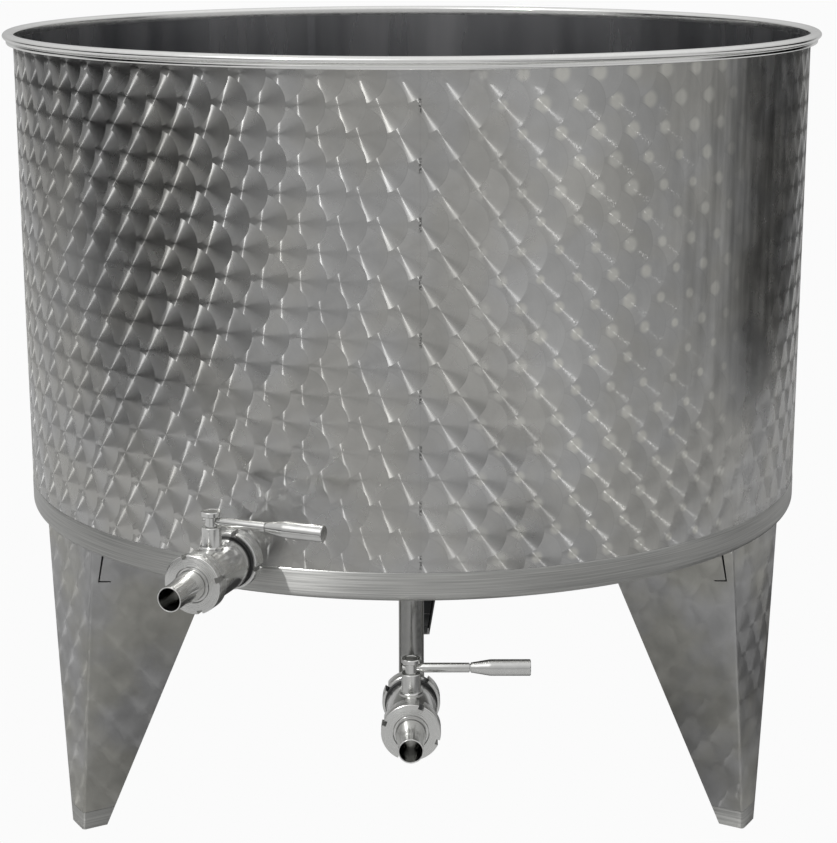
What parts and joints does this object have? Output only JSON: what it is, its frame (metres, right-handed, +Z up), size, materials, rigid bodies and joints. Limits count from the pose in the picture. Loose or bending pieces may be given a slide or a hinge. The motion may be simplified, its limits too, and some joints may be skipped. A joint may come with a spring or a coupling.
{
  "type": "vertical storage tank",
  "caption": "Open-topped upright stainless tank on folded legs, marbled wall, rolled rim, flat bottom with a smooth band, lever ball valves at the wall and under the bottom.",
  "frame": {"origin": "on the floor, under the middle of the whole outline; the tank's axis is 67 mm behind it", "axes": "+Z up; -Y is the front, where the drain valve points; +X to the right seen from the front"},
  "size_m": [1.0262, 1.1592, 0.9842],
  "materials": {
    "marbled_stainless": "circle-polished sheet, overlapping discs",
    "brushed_stainless": "fine straight brushing",
    "turned_stainless": "lathe-turned, bright",
    "polished_stainless": "polished",
    "black_rubber": "moulded"
  },
  "bodies": {
    "tank": {"shell": "marbled_stainless", "rim_bead": "brushed_stainless", "bottom_band": "brushed_stainless", "bottom_plate": "brushed_stainless", "drain_pipe": "polished_stainless", "leg_left": "marbled_stainless", "leg_left_shoe": "brushed_stainless", "leg_left_sole": "brushed_stainless", "leg_right": "marbled_stainless", "leg_right_shoe": "brushed_stainless", "leg_right_sole": "brushed_stainless", "leg_rear": "marbled_stainless", "leg_rear_shoe": "brushed_stainless", "leg_rear_sole": "brushed_stainless", "side_socket": "turned_stainless", "side_rear_nut": "turned_stainless", "side_gasket": "black_rubber", "side_valve_body": "turned_stainless", "side_front_nut": "turned_stainless", "side_tail": "turned_stainless", "drain_socket": "turned_stainless", "drain_rear_nut": "turned_stainless", "drain_gasket": "black_rubber", "drain_valve_body": "turned_stainless", "drain_front_nut": "turned_stainless", "drain_tail": "turned_stainless"},
    "side_lever": {"side_ball": "polished_stainless", "side_stem": "polished_stainless", "side_lever_rod": "polished_stainless", "side_grip": "polished_stainless"},
    "drain_lever": {"drain_ball": "polished_stainless", "drain_stem": "polished_stainless", "drain_lever_rod": "polished_stainless", "drain_grip": "polished_stainless"}
  },
  "joints": [
    {"name": "side_valve_turn", "type": "hinge", "parent": "tank", "child": "side_lever", "pos_m": [-0.21587, -0.48151, 0.4356], "axis": [0, 0, -1], "range_deg": [0, 90]},
    {"name": "drain_valve_turn", "type": "hinge", "parent": "tank", "child": "drain_lever", "pos_m": [-0.0012, -0.45699, 0.2583], "axis": [0, 0, -1], "range_deg": [0, 90]}
  ]
}
